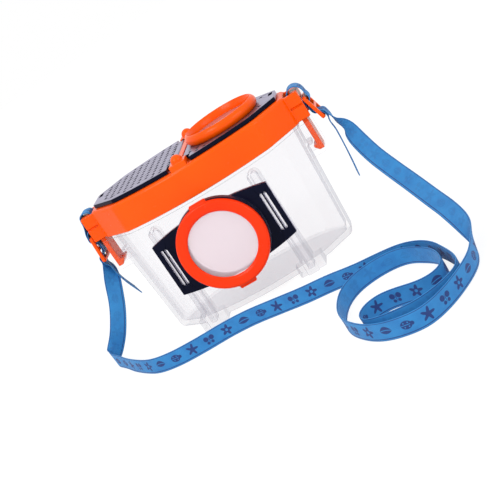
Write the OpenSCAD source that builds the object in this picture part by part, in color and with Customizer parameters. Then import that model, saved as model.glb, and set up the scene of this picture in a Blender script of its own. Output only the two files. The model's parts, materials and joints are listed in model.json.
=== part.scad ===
// Bug catcher jar: clear jar, lift-off lid with two hatches, two magnifiers, two latches
// and a neck strap. Millimetres; the origin is under the middle of the jar, on the surface
// that it stands on, with X along the jar, the large magnifier towards -Y and Z up.

/* [Lid] */
// Length of the lid without its end lugs
lid_l = 129; // [125:1:146]
// Depth of the lid from front to back
lid_d = 70; // [66:1:80]
// Radius of the long bowed sides
lid_front_r = 126; // [118:1:150]
// Width of the straight ends, to the middle of their corners
lid_end_w = 20; // [19:0.5:24]
// Angle between the lid's length and the slanted faces beside each end
lid_slant = 42.3; // [40:0.1:45]
// Radius between a bowed side and a slanted face
lid_corner_r = 8; // [6:0.5:12]
// Radius between a slanted face and an end
lid_end_r = 6; // [4:0.5:7]
// Height of the skirt, outside
lid_skirt_h = 17.4; // [16.4:0.1:18.4]
// Wall of the skirt
lid_wall = 2.2; // [1.6:0.1:3]
// Thickness of the deck
lid_deck_t = 4.4; // [3.4:0.1:5]
// Rounding between deck and skirt
lid_round = 2; // [1:0.1:2.4]
// Width of the ledge that the hatches rest on
lid_ledge = 8.5; // [7:0.5:11]
// Width of the bridge between the two openings
bridge_w = 12.4; // [11:0.2:16]
// Radius of the two balls on the bridge
ball_r = 3.5; // [2.5:0.1:3.8]
// Height of the ball centres over the deck
ball_rise = 3.5; // [2.5:0.1:4]

/* [Lugs and latches] */
// How far each end lug stands out
lug_reach = 8; // [7.6:0.1:9]
// Width of a lug
lug_w = 17.4; // [15:0.1:22]
// Thickness of each cheek of a lug
lug_cheek = 2.4; // [1.8:0.1:3]
// Height of a lug
lug_h = 15.7; // [14:0.1:17]
// How far the tops of the lugs lie under the deck
lug_drop = 1.2; // [0.8:0.1:2]
// Thickness of the bar that the strap goes round
strap_bar_w = 4.9; // [4:0.1:5.4]
// Height of the bar that the strap goes round
strap_bar_h = 7.4; // [5:0.1:8.5]
// Thickness of a latch tongue
latch_t = 3; // [2.4:0.1:3.6]
// Length of a latch below its pivot
latch_len = 23; // [21:0.5:26]
// Radius of the latch pins
latch_pin_r = 1.2; // [0.8:0.05:1.4]
// How far the hook reaches under the catch bar
latch_bite = 0.22; // [0.1:0.01:0.24]

/* [Jar] */
// Height of the clear jar, the 8.4 cm on the label
jar_h = 84; // [76:1:100]
// Wall of the jar
jar_wall = 2; // [1.4:0.1:3]
// Thickness of the floor
jar_floor = 2.4; // [1.6:0.1:4]
// How much each wall leans in from the flange to the floor
jar_taper = 3.6; // [1:0.1:5]
// Rounding round the floor
jar_foot_r = 3; // [1:0.5:4]
// Thickness of the flange under the skirt
flange_t = 1.6; // [1:0.1:2.4]
// How far the flange stands out from the wall
flange_lip = 1.8; // [1:0.1:2.2]
// Distance of each front rail from the plate's end
rail_edge = 4.8; // [4.6:0.1:5.2]
// Width of a front rail
rail_w = 7; // [6:0.5:8]
// Wall of a front rail
rail_wall = 1.6; // [1.2:0.1:2]
// Distance of the rails' front faces from the middle of the jar
rail_y = 35.5; // [34.5:0.5:38]
// Width of a front foot
foot_w = 16; // [10:1:18]
// Height of a front foot
foot_h = 7; // [4:0.5:12]
// Height of the guards beside each latch
guard_h = 19.5; // [14:0.5:22]
// Thickness of a guard
guard_t = 1.6; // [1:0.1:2]

/* [Hatches] */
// Thickness of a hatch
hatch_t = 2.4; // [2.2:0.1:2.8]
// How far a hatch stays inside the lid's outline
hatch_inset = 3.4; // [2.6:0.1:4.6]
// How much further each hatch stops short of the lid's end
hatch_short = 0.4; // [0:0.1:2]
// Distance of each hinge axis from the middle of the lid
hinge_x = 3.3; // [3.2:0.1:3.6]
// Length of a hinge barrel
barrel_l = 48.4; // [40:0.4:49]
// Radius of a hinge pin
hinge_pin_r = 1; // [0.7:0.05:1.05]
// Length of a hinge pin
hinge_pin_l = 3; // [2:0.1:4]
// Diameter of an air hole
vent_d = 1.8; // [0.8:0.1:2]
// Spacing of the air holes along the lid
vent_pitch_x = 4.9; // [4:0.1:8]
// Spacing of the air holes across the lid
vent_pitch_y = 5.4; // [3:0.1:6]
// Width of a thumb slot
thumb_w = 2.5; // [2:0.1:3]
// Length of a thumb slot
thumb_l = 6; // [4:0.5:7]
// Distance of the thumb slots behind the middle
thumb_y = 5; // [0:0.5:5]

/* [Top magnifier] */
// Distance of the top magnifier from the middle of the lid
top_x = 27; // [26.8:0.1:30]
// Largest radius of the top ring
top_ring_r = 23.2; // [22.6:0.1:24]
// Height of the top ring over the hatch
top_ring_h = 6.2; // [5:0.1:6.6]
// Radius of the top lens
top_lens_r = 19.2; // [17:0.1:19.4]
// Thickness of the top lens at its rim
top_lens_t = 1.6; // [1:0.1:2]

/* [Front magnifier] */
// Height of the front magnifier's centre
plate_z = 43; // [41:0.5:44]
// Width of the plate
plate_w = 73.6; // [72:0.4:80]
// Height of the plate at its ends
plate_end_h = 32.5; // [30:0.5:36]
// How far the plate's long edges bulge
plate_bulge = 4.4; // [2:0.1:5]
// Thickness of the plate
plate_t = 3; // [2:0.1:4]
// Width of the plate beside the collar, where the rails hold it
plate_ear = 10.8; // [10:0.1:12]
// How far the plate reaches inwards behind the collar
window_step = 6; // [5.4:0.1:8]
// Height of the collar on the plate
collar_h = 4.5; // [4.2:0.1:7]
// Thickness of the front ring's rim
front_rim_t = 3.7; // [3:0.1:5]
// Width of the collar's lip, which the ring's sleeve turns in
collar_wall = 3.5; // [3.1:0.1:4]
// How far the front ring's rim covers the lens
lens_lap = 1.8; // [1.4:0.1:2.6]
// Thickness of the front lens at its rim
front_lens_t = 1.8; // [1:0.1:2.4]
// Angle that the front ring turns to come free
bayonet_turn = 45; // [30:1:60]

/* [Strap] */
// Width of the ribbon
ribbon_w = 10; // [8:0.5:10.5]
// Thickness of the ribbon
ribbon_t = 0.7; // [0.5:0.05:0.8]
// Length of a strap slider
slider_l = 16.4; // [15.6:0.1:17]
// Width of a strap slider
slider_w = 15; // [14:0.5:20]
// Thickness of a strap slider
slider_t = 2; // [1.6:0.1:2.2]

/* [Hidden] */
$fn = 64;
// Overrun of every cut
over = 0.5;
// Thickness of the slices that a hull joins
skin = 0.02;
// Gap between the jar and the lid, and between the hatches' edges and the lid
seat_gap = 0.3;
// Gap between the skirt's inside and the jar's neck
neck_gap = 0.4;
// Smallest corner radius that an inset outline keeps
corner_min = 1.5;
// Points along a long side and along a corner
side_n = 24;
corner_n = 8;

// Heights
deck_z = jar_h + seat_gap + lid_deck_t;
skirt_z = deck_z - lid_skirt_h;
flange_top = skirt_z - seat_gap;
flange_z = flange_top - flange_t;
neck_inset = lid_wall + neck_gap;
base_inset = neck_inset + jar_taper;
hatch_gap = 0.2;
hatch_z = deck_z + hatch_gap;
hatch_top = hatch_z + hatch_t;
hinge_z = hatch_z + hatch_t / 2;

// Bridge and bosses
bar_w = 3.6;
boss_w = 10;
boss_h = 3.2;
boss_y = barrel_l / 2 + seat_gap;
boss_edge = 1;
boss_l = lid_d / 2 - boss_edge - boss_y;
ball_y = boss_y + boss_l / 2 - 0.75;
hinge_fit = 0.06;
notch_x = hinge_x + 4;

// Lugs and latches
lug_top = deck_z - lug_drop;
lug_x = lid_l / 2 + lug_reach;
lug_z = lug_top - lug_h;
slot_x = lug_x - strap_bar_w;
pivot_drop = 3.6;
pivot_x = lug_x - pivot_drop;
pivot_z = skirt_z + 3.5;
barrel_r = 2.15;
latch_fit = 0.08;
latch_gap = 0.4;
lug_skin = 0.7;
groove_t = 0.35;
groove_h = 0.7;
groove_z = lug_z + lug_h / 2;
latch_w = lug_w - 2 * lug_cheek - 2 * latch_gap;
latch_in = pivot_x - barrel_r;
latch_foot = pivot_z - latch_len;
hook_rise = 1.5;
hook_h = 2;
hook_top = latch_foot + hook_rise + hook_h;
hook_play = 1.3;
catch_h = 2;
catch_z = hook_top + hook_play;
catch_w = 11;
hook_x = 64.6;
catch_x = hook_x + latch_bite;
guard_gap = 0.7;
guard_y = latch_w / 2 + guard_gap;
guard_x = lug_x - 1.5;
guard_r = 3;

// Front rails, their tongues and the plate's slots, which a bar divides
tongue_w = 3.4;
tongue_gap = 1.4;
tongue_corner = 1;
slot_bar_w = 0.8;
tongue_h = 23.5;
tongue_reach = 2;
slot_fit = 0.3;
rail_top = flange_z - 1.8;
foot_y = rail_y - 1.5;

// Front magnifier: radii from the plate's width inwards
rail_x = plate_w / 2 - rail_edge;
collar_r = plate_w / 2 - plate_ear;
front_ring_r = collar_r - seat_gap;
window_r = collar_r - window_step;
sleeve_fit = 0.08;
sleeve_wall = 1.12;
rim_gap = 0.4;
lug_turn_out = 1.18;
tab_out = 1.4;
sleeve_r = collar_r - collar_wall - sleeve_fit;
front_lens_r = sleeve_r - sleeve_wall - rim_gap;
front_open_r = front_lens_r - lens_lap;
lug_turn_r = sleeve_r + lug_turn_out;
tab_r = front_ring_r + tab_out;

// Front magnifier, measured forwards from the middle of the jar
plate_y = rail_y + plate_t;
collar_y = plate_y + collar_h;
ring_y = collar_y + seat_gap;
front_y = ring_y + front_rim_t;
lip_t = 2.2;
sleeve_l = collar_h - 0.1;
lug_turn_t = 1.4;
lug_turn_half = 11;
groove_fit = 0.2;
notch_extra = 2;
tab_w = 10;
tab_t = 2.4;
front_round = 1.4;
lens_dome = 1.2;

// Top magnifier
ring_bore_r = 19.8;
ring_fit = 0.15;
lens_fit = 0.2;
ledge_w = 1.6;
mouth_r = 21.4;
bulge_arc_r = 3.6;
hole_margin = 3;

// Strap sliders: where each stands and which way it leans
slider_left_x = -74.6;
slider_left_z = 66.9;
slider_left_lean = 87;
slider_right_x = 76;
slider_right_z = 74.2;
slider_right_lean = 74;
slider_bar = 2;
slider_end = 1.7;
slider_slot_w = 11;
slider_corner = 1.5;

// Outline of the lid in plan, drawn in by t, and by e more at its ends: two bowed sides, four
// slanted faces, two straight ends and a rounded corner between all of them
function arc_points(c, r, a0, a1, n, last) =
    [for (i = [0 : n - 1 + last])
        let (a = a0 + (a1 - a0) * i / n) [c[0] + r * cos(a), c[1] + r * sin(a)]];
bow_c = lid_front_r - lid_d / 2;
// Distance of a slanted face from the middle of the lid, drawn in by t
function slant_d(t) = lid_l / 2 * sin(lid_slant) + lid_end_w / 2 * cos(lid_slant) - t;
function plan(t, e = 0) = let (
    r = lid_front_r - t,
    k = max(lid_corner_r - t, corner_min),
    m = max(lid_end_r - t, corner_min),
    q = slant_d(t + k),
    s = bow_c * sin(lid_slant) - sqrt(pow(r - k, 2) - pow(q + bow_c * cos(lid_slant), 2)),
    x = q * sin(lid_slant) + s * cos(lid_slant),
    y = s * sin(lid_slant) - q * cos(lid_slant),
    u = lid_l / 2 - t - e - m,
    v = (u * sin(lid_slant) - slant_d(t + m)) / cos(lid_slant),
    phi = atan2(x, bow_c - y), psi = lid_slant)
    concat(
        arc_points([0, bow_c], r, -90 - phi, -90 + phi, side_n, 0),
        arc_points([x, y], k, -90 + phi, -90 + psi, corner_n, 1),
        arc_points([u, v], m, -90 + psi, 0, corner_n, 1),
        arc_points([u, -v], m, 0, 90 - psi, corner_n, 1),
        arc_points([x, -y], k, 90 - psi, 90 - phi, corner_n, 0),
        arc_points([0, -bow_c], r, 90 - phi, 90 + phi, side_n, 0),
        arc_points([-x, -y], k, 90 + phi, 90 + psi, corner_n, 1),
        arc_points([-u, -v], m, 90 + psi, 180, corner_n, 1),
        arc_points([-u, v], m, 180, 270 - psi, corner_n, 1),
        arc_points([-x, y], k, 270 - psi, 270 - phi, corner_n, 0));
// True where a point lies inside that outline
function inside(x, y, t, e) =
    norm([x, abs(y) + bow_c]) < lid_front_r - t && abs(x) < lid_l / 2 - t - e
    && abs(x) * sin(lid_slant) + abs(y) * cos(lid_slant) < slant_d(t);

module slab(t, h) {
    linear_extrude(h) polygon(plan(t));
}
// A round bar along Y through x and z, from -l / 2 to l / 2
module bar_y(x, z, r, l) {
    translate([x, l / 2, z]) rotate([90, 0, 0]) cylinder(r = r, h = l);
}
// Turns a shape drawn in X and Z, standing on y = -y0, to grow forwards by h
module forwards(y0, h) {
    translate([0, -y0, 0]) rotate([90, 0, 0]) linear_extrude(h) children();
}
module sector(r, half) {
    polygon(concat([[0, 0]], arc_points([0, 0], r, -half, half, corner_n, 1)));
}
// Profile of a lens with a flat back, from its axis out to its rim
function lens_points(r, t, dome) = let (s = (r * r + dome * dome) / (2 * dome), a = asin(r / s))
    concat([[0, 0], [r, 0]],
        [for (i = [corner_n : -1 : 0])
            let (b = a * i / corner_n) [s * sin(b), t + dome - s + s * cos(b)]]);

// Clear jar
module jar_shell() {
    hull() {
        for (a = [0 : 30 : 90])
            translate([0, 0, jar_foot_r * (1 - cos(a))])
                slab(base_inset + jar_foot_r * (1 - sin(a)), skin);
        translate([0, 0, flange_z]) slab(neck_inset, skin);
    }
    translate([0, 0, flange_z]) slab(neck_inset, jar_h - flange_z);
    translate([0, 0, flange_z]) slab(neck_inset - flange_lip, flange_t);
}
module jar_cavity() {
    hull() {
        for (a = [0 : 45 : 90])
            translate([0, 0, jar_floor + jar_foot_r * (1 - cos(a))])
                slab(base_inset + jar_wall + jar_foot_r * (1 - sin(a)), skin);
        translate([0, 0, flange_z]) slab(neck_inset + jar_wall, skin);
    }
    translate([0, 0, flange_z]) slab(neck_inset + jar_wall, jar_h - flange_z + over);
}
// Upright bar with a round top, drawn in X and Z
module arch(w, top) {
    translate([-w / 2, 0]) square([w, top - w / 2]);
    translate([0, top - w / 2]) circle(w / 2);
}
module rounded(w, h, r) {
    square([w, h - 2 * r], center = true);
    square([w - 2 * r, h], center = true);
    for (i = [-1, 1], j = [-1, 1]) translate([i * (w / 2 - r), j * (h / 2 - r)]) circle(r);
}
module rail() {
    difference() {
        union() {
            forwards(0, rail_y) arch(rail_w, rail_top);
            translate([-foot_w / 2, -foot_y, 0]) cube([foot_w, foot_y, foot_h]);
        }
        forwards(0, rail_y - rail_wall) difference() {
            arch(rail_w - 2 * rail_wall, rail_top - rail_wall);
            translate([-rail_w / 2, 0]) square([rail_w, jar_floor]);
        }
    }
    forwards(rail_y, tongue_reach) translate([0, plate_z]) difference() {
        rounded(tongue_w, tongue_h, tongue_corner);
        square([tongue_gap, tongue_h + over], center = true);
    }
}
// One guard beside a latch, with its lower outer corner rounded
module guard() {
    translate([0, guard_t / 2, 0]) rotate([90, 0, 0]) linear_extrude(guard_t)
        polygon(concat(
            [[0, flange_z], [0, flange_z - guard_h]],
            arc_points([guard_x - guard_r, flange_z - guard_h + guard_r], guard_r, -90, 0,
                corner_n, 1),
            [[guard_x, flange_z]]));
}
module jar_body() {
    color("white", 0.4) difference() {
        union() {
            jar_shell();
            for (side = [-1, 1]) {
                translate([side * rail_x, 0, 0]) rail();
                mirror([side < 0 ? 1 : 0, 0, 0]) {
                    for (y = [-1, 1]) translate([0, y * (guard_y + guard_t / 2), 0]) guard();
                    translate([0, -catch_w / 2, catch_z]) cube([catch_x, catch_w, catch_h]);
                }
            }
        }
        jar_cavity();
    }
}

// Lid
module lid_shell() {
    hull() {
        translate([0, 0, skirt_z]) slab(0, lid_skirt_h - lid_round);
        for (a = [30 : 30 : 90])
            translate([0, 0, deck_z - lid_round * (1 - sin(a)) - skin])
                slab(lid_round * (1 - cos(a)), skin);
    }
}
module lid_openings() {
    for (side = [-1, 1])
        translate([0, 0, jar_h]) linear_extrude(deck_z - jar_h + over) intersection() {
            polygon(plan(lid_ledge));
            translate([side * (bridge_w + lid_l) / 2, 0]) square([lid_l, lid_d], center = true);
        }
}
module lug() {
    reach = lug_x - lid_l / 2 + lid_wall / 2;
    difference() {
        union() {
            for (y = [-1, 1])
                translate([lug_x - reach, y * (lug_w - lug_cheek) / 2 - lug_cheek / 2, lug_z])
                    cube([reach, lug_cheek, lug_h]);
            translate([slot_x, -lug_w / 2, lug_top - strap_bar_h])
                cube([strap_bar_w, lug_w, strap_bar_h]);
        }
        bar_y(pivot_x, pivot_z, latch_pin_r + latch_fit, lug_w - 2 * lug_skin);
        for (y = [-1, 1])
            translate([lid_l / 2, y * lug_w / 2 - groove_t, groove_z])
                cube([lug_reach + over, 2 * groove_t, groove_h]);
    }
}
module boss() {
    translate([-boss_w / 2, boss_y, deck_z - lid_deck_t / 2])
        cube([boss_w, boss_l, boss_h + lid_deck_t / 2]);
    translate([0, ball_y, deck_z + ball_rise]) sphere(ball_r);
}
module lid_frame() {
    color("orangered") difference() {
        union() {
            difference() {
                lid_shell();
                translate([0, 0, skirt_z - over])
                    slab(lid_wall, deck_z - lid_deck_t - skirt_z + over);
                lid_openings();
            }
            translate([-bar_w / 2, -boss_y, deck_z - lid_deck_t / 2])
                cube([bar_w, 2 * boss_y, hatch_t + hatch_gap + lid_deck_t / 2]);
            for (side = [-1, 1]) {
                mirror([0, side < 0 ? 1 : 0, 0]) boss();
                mirror([side < 0 ? 1 : 0, 0, 0]) lug();
            }
        }
        for (side = [-1, 1])
            bar_y(side * hinge_x, hinge_z, hinge_pin_r + hinge_fit,
                2 * (barrel_l / 2 + hinge_pin_l + seat_gap));
    }
}

// Hatches, drawn for the side towards +X
thumb_rim = 1.8;
thumb_in = lid_l / 2 - hatch_inset - hatch_short - thumb_rim - thumb_w;
module hatch_outline() {
    difference() {
        intersection() {
            polygon(plan(hatch_inset, hatch_short));
            translate([hinge_x, -lid_d / 2]) square([lid_l / 2, lid_d]);
        }
        for (y = [-1, 1])
            translate([0, y > 0 ? barrel_l / 2 : -lid_d / 2])
                square([notch_x, (lid_d - barrel_l) / 2]);
        translate([thumb_in, thumb_y - thumb_l / 2]) square([thumb_w, thumb_l]);
    }
}
// Air holes that keep their margin from the edges, and from a circle of radius clear_r
module air_holes(clear_r) {
    cols = floor(lid_l / 2 / vent_pitch_x);
    rows = floor(lid_d / 2 / vent_pitch_y);
    for (i = [1 : cols], j = [-rows : rows]) {
        x = hinge_x + vent_pitch_x * (i - 0.2);
        y = vent_pitch_y * j;
        notch_clear = x > notch_x + vent_d || abs(y) < barrel_l / 2 - vent_d;
        thumb_clear = x < thumb_in - vent_d;
        if (inside(x, y, hatch_inset + hole_margin, hatch_short) && notch_clear && thumb_clear
            && norm([x - top_x, y]) > clear_r)
            translate([x, y]) circle(d = vent_d, $fn = 16);
    }
}
module hatch(clear_r) {
    translate([0, 0, hatch_z]) linear_extrude(hatch_t) difference() {
        hatch_outline();
        air_holes(clear_r);
    }
    bar_y(hinge_x, hinge_z, hatch_t / 2, barrel_l);
    bar_y(hinge_x, hinge_z, hinge_pin_r, barrel_l + 2 * hinge_pin_l);
}
module vent_hatch() {
    color("midnightblue") mirror([1, 0, 0]) hatch(0);
}
module lens_hatch() {
    color("midnightblue") difference() {
        hatch(top_ring_r + hole_margin);
        translate([top_x, 0, hatch_z - over]) cylinder(r = ring_bore_r, h = hatch_t + 2 * over);
    }
}

// Top magnifier
module top_ring() {
    spigot_r = ring_bore_r - ring_fit;
    cup_r = top_lens_r + lens_fit;
    mid_z = hatch_top + top_ring_h / 2 - lens_fit;
    top_z = hatch_top + top_ring_h;
    arc_x = top_ring_r - bulge_arc_r;
    low = asin((mid_z - hatch_top) / bulge_arc_r);
    high = asin((top_z - mid_z) / bulge_arc_r);
    color("orangered") translate([top_x, 0, 0]) rotate_extrude() polygon(concat(
        [[top_lens_r - ledge_w, hatch_z], [spigot_r, hatch_z], [spigot_r, hatch_top]],
        arc_points([arc_x, mid_z], bulge_arc_r, -low, high, corner_n, 1),
        [[mouth_r - lens_fit, top_z - lens_fit], [cup_r, hatch_top + top_lens_t + ledge_w],
            [cup_r, hatch_top], [top_lens_r - ledge_w, hatch_top]]));
}
module top_lens() {
    color("lavender", 0.5) translate([top_x, 0, hatch_top])
        rotate_extrude() polygon(lens_points(top_lens_r, top_lens_t, lens_dome));
}

// Front magnifier
module plate_outline() {
    h = plate_end_h / 2;
    r = (pow(plate_w / 2, 2) + plate_bulge * plate_bulge) / (2 * plate_bulge);
    a = asin(plate_w / 2 / r);
    c = h + plate_bulge - r;
    polygon(concat(
        arc_points([0, -c], r, -90 - a, -90 + a, side_n, 1),
        arc_points([0, c], r, 90 - a, 90 + a, side_n, 1)));
}
module lens_plate() {
    groove_r = lug_turn_r + groove_fit;
    bore_r = sleeve_r + sleeve_fit;
    groove_l = collar_h - sleeve_l + lug_turn_t + seat_gap + seat_gap;
    color("midnightblue") translate([0, 0, plate_z]) {
        forwards(rail_y, plate_t) difference() {
            plate_outline();
            circle(window_r);
            for (side = [-1, 1]) translate([side * rail_x, 0]) difference() {
                rounded(tongue_w + 2 * slot_fit, tongue_h + 2 * slot_fit,
                    tongue_corner + slot_fit);
                square([slot_bar_w, tongue_h + 2 * over], center = true);
            }
        }
        forwards(plate_y, groove_l) difference() {
            circle(collar_r);
            circle(groove_r);
        }
        forwards(plate_y + groove_l, collar_h - groove_l) difference() {
            circle(collar_r);
            circle(bore_r);
            for (side = [0, 180]) rotate(side - bayonet_turn)
                sector(groove_r - groove_fit / 2, lug_turn_half + notch_extra);
        }
    }
}
module front_ring() {
    sleeve_in = sleeve_r - sleeve_wall;
    r = front_round;
    color("red") translate([0, 0, plate_z]) {
        translate([0, -ring_y, 0]) rotate([90, 0, 0]) rotate_extrude() polygon(concat(
            [[sleeve_in, -sleeve_l], [sleeve_r, -sleeve_l], [sleeve_r, 0], [front_ring_r, 0]],
            arc_points([front_ring_r - r, front_rim_t - r], r, 0, 90, corner_n, 1),
            [[front_open_r + lip_t, front_rim_t], [front_open_r, front_rim_t - lip_t / 2],
                [front_open_r, front_rim_t - lip_t], [sleeve_in, front_rim_t - lip_t]]));
        for (side = [0, 180])
            forwards(ring_y - sleeve_l, lug_turn_t) rotate(side) difference() {
                sector(lug_turn_r, lug_turn_half);
                circle(sleeve_r - sleeve_wall / 2);
            }
        for (side = [-1, 1])
            forwards(ring_y, tab_t) translate([0, side * (front_ring_r + tab_r - lip_t) / 2])
                square([tab_w, tab_r - front_ring_r + lip_t], center = true);
    }
}
module front_lens() {
    lens_y = ring_y + front_rim_t - lip_t;
    color("lavender", 0.5) translate([0, -lens_y, plate_z]) rotate([-90, 0, 0])
        rotate_extrude() polygon(lens_points(front_lens_r, front_lens_t, lens_dome));
}

// Latch, drawn for the end towards +X
module latch() {
    bar_y(pivot_x, pivot_z, barrel_r, latch_w);
    bar_y(pivot_x, pivot_z, latch_pin_r, lug_w - 2 * (lug_skin + latch_gap));
    translate([latch_in, -latch_w / 2, latch_foot]) cube([latch_t, latch_w, latch_len]);
    translate([0, latch_w / 2, 0]) rotate([90, 0, 0]) linear_extrude(latch_w)
        polygon([[latch_in + latch_t / 2, hook_top], [hook_x, hook_top],
            [hook_x, hook_top - hook_h / 2], [latch_in, latch_foot],
            [latch_in + latch_t / 2, latch_foot]]);
}
module latch_right() {
    color("orangered") latch();
}
module latch_left() {
    color("orangered") mirror([1, 0, 0]) latch();
}

// Strap slider: a plate with two slots, its length along X before it leans
module slider(x, z, lean) {
    side = x > 0 ? 0 : 1;
    slot_l = slider_l / 2 - slider_bar / 2 - slider_end;
    color("orangered") translate([x, 0, z]) mirror([side, 0, 0]) rotate([0, lean, 0])
        translate([0, 0, -slider_t / 2]) linear_extrude(slider_t) difference() {
            rounded(slider_l, slider_w, slider_corner);
            for (i = [-1, 1])
                translate([i * (slider_bar + slot_l) / 2, 0])
                    square([slot_l, slider_slot_w], center = true);
        }
}
module strap_slider_left() {
    slider(slider_left_x, slider_left_z, slider_left_lean);
}
module strap_slider_right() {
    slider(slider_right_x, slider_right_z, slider_right_lean);
}

// Ribbon: one closed skin swept along rows of [place, direction of the ribbon's width]
edge_t = ribbon_t / 2;
edge_c = ribbon_t / 4;
section = [[ribbon_w / 2, -edge_c], [ribbon_w / 2, edge_c], [ribbon_w / 2 - edge_c, edge_t],
    [edge_c - ribbon_w / 2, edge_t], [-ribbon_w / 2, edge_c], [-ribbon_w / 2, -edge_c],
    [edge_c - ribbon_w / 2, -edge_t], [ribbon_w / 2 - edge_c, -edge_t]];
function unit(v) = v / norm(v);
function ring_points(rows, i) = let (
    n = len(rows) - 1, p = rows[i][0],
    t_in = unit(i == 0 ? rows[1][0] - p : p - rows[i - 1][0]),
    t_out = unit(i == n ? p - rows[n - 1][0] : rows[i + 1][0] - p),
    t = unit(t_in + t_out), w = unit(rows[i][1] - (rows[i][1] * t) * t),
    out = cross(t, w) / max(t * t_in, 0.5))
    [for (c = section) p + c[0] * w + c[1] * out];
module ribbon(rows) {
    n = len(rows);
    m = len(section);
    color("dodgerblue") polyhedron(
        points = [for (i = [0 : n - 1]) each ring_points(rows, i)],
        faces = concat(
            [[for (j = [0 : m - 1]) j]],
            [[for (j = [m - 1 : -1 : 0]) (n - 1) * m + j]],
            [for (i = [0 : n - 2], j = [0 : m - 1])
                let (a = i * m + j, b = i * m + (j + 1) % m) each [[a, a + m, b + m], [a, b + m, b]]]));
}
// Directions that the ribbon's width takes
up = [0, 0, 1];
front = [0, -1, 0];
left_up = [-0.85, 0, 0.5];
right_up = [0.92, 0.18, 0.35];

// The two layers through a slider, as [along, outwards], and where they lie
weave = [[-8.7, 1.95], [-5.9, 1.95], [-2.4, -1.95], [2.4, -1.95], [5.9, 1.95], [8.7, 1.95]];
layer = 0.45;
function weave_normal(i) = let (
    n = len(weave) - 1,
    a = unit(i == 0 ? weave[1] - weave[0] : weave[i] - weave[i - 1]),
    b = unit(i == n ? weave[n] - weave[n - 1] : weave[i + 1] - weave[i]),
    t = unit(a + b)) [-t[1], t[0]] / (t * a);
function on_slider(x, z, lean, p) = let (side = x > 0 ? 1 : -1)
    [x + side * (p[0] * cos(lean) + p[1] * sin(lean)), 0, z - p[0] * sin(lean) + p[1] * cos(lean)];
function woven(x, z, lean, off, first = 0) = [for (i = [first : len(weave) - 1])
    [on_slider(x, z, lean, weave[i] + off * weave_normal(i)), front]];
function backwards(list) = [for (i = [len(list) - 1 : -1 : 0]) list[i]];

// Routes of the strap
floor_z = ribbon_w / 2 + 0.1;
loop_left = [[-76.5, 0, 76.1], [-76, 0, 78.2], [-74.9, 0, 80.7], [-74.1, 0, 83.4],
    [-73.7, 0, 86.2], [-73.2, 0, 87.9], [-71.8, 0, 88.95], [-69.6, 0, 89.1], [-67.6, 0, 88.6],
    [-66.4, 0, 87.1], [-66, 0, 85], [-66, 0, 81], [-66.9, 0, 79.5], [-69, 0, 79.2],
    [-72.2, 0, 79], [-74.2, 0, 78.2], [-75.3, 0, 77.1], [-75.6, 0, 76.1]];
loop_right = [[75.8, 0, 83.6], [75.5, 0, 85.5], [74.6, 0, 87.6], [72.9, 0, 89.2], [70.6, 0, 89.9],
    [68.3, 0, 89.4], [66.7, 0, 87.8], [66.1, 0, 85.5], [66, 0, 81], [66.9, 0, 79.5],
    [69, 0, 79.2], [71.2, 0, 79], [72.4, 0, 78.2], [72.8, 0, 77.1], [72.92, 0, 76.24]];
tail_left = [[-75.7, 0, 54], [-75.4, 0, 49], [-73.8, 0, 41], [-70.5, 0, 33]];
tail_right = [[79.1, 0, 62], [79.6, 0, 57], [79.3, 0, 48], [78.4, 0, 38], [77.4, 0, 28]];
drop_left = [
    [[-77.6, -1, 51.5], [-0.6, -0.7, 0]], [[-80.5, -3, 43], [-0.95, -0.1, 0.3]],
    [[-85, -4, 32.5], left_up], [[-91, -4, 22.5], left_up], [[-97, -3, 14.5], left_up],
    [[-102, -1.8, 9.4], [-0.6, 0, 0.8]], [[-104.8, -3, 6.6], [-0.25, 0, 0.95]],
    [[-105.6, -5.6, floor_z], up], [[-105, -8, floor_z], up]];
floor_run = [[-105, -8], [-104, -12], [-99, -19], [-92.5, -28], [-85, -39], [-76, -50], [-66, -58.5],
    [-53, -63.5], [-36, -63.5], [-18, -62.5], [-4, -63.5], [11, -68.5], [28, -73.5], [45, -77.3],
    [60, -82.2], [76, -85.5], [87, -88.8], [95, -95.5], [101.5, -106], [106.5, -119],
    [109.8, -132], [111, -143], [108.5, -151], [100, -157.6], [88, -161.8], [76, -160.6],
    [66.5, -156.8], [61.8, -152.5], [60.6, -146.5], [63.2, -138.8], [70, -135.2], [80, -138],
    [90, -142.6], [98, -143.4], [103, -139.5], [104.4, -131], [102, -118], [95, -104.5],
    [84.5, -93], [70, -90.8], [59, -95.4], [52.5, -106], [49.6, -120], [50.8, -135], [56.5, -150],
    [65.5, -161.8], [77, -169.6], [89, -172], [99.5, -165.6], [108, -156.6], [114.5, -146],
    [118.6, -135], [119.8, -128.5]];
drop_right = [
    [[119.8, -128.5, floor_z], up], [[120.4, -125.25, floor_z], up],
    [[120.7, -119, 6.4], [0.35, 0, 0.95]],
    [[119.8, -109, 9.6], [0.75, 0.1, 0.65]], [[116.4, -93, 14], right_up],
    [[111, -76, 19], right_up], [[105, -58, 25], right_up], [[98.6, -41, 32], right_up],
    [[92.6, -26, 40], right_up], [[88.4, -14, 48.5], [0.92, -0.1, 0.3]],
    [[86, -6.5, 56], [0.6, -0.75, 0]], [[82.4, -1.5, 60.8], [0.3, -0.9, 0]]];
// Directions of the tails' width
tail_left_w = [0.3, -0.9, 0];
tail_right_w = [0.25, -0.95, 0];

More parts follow.
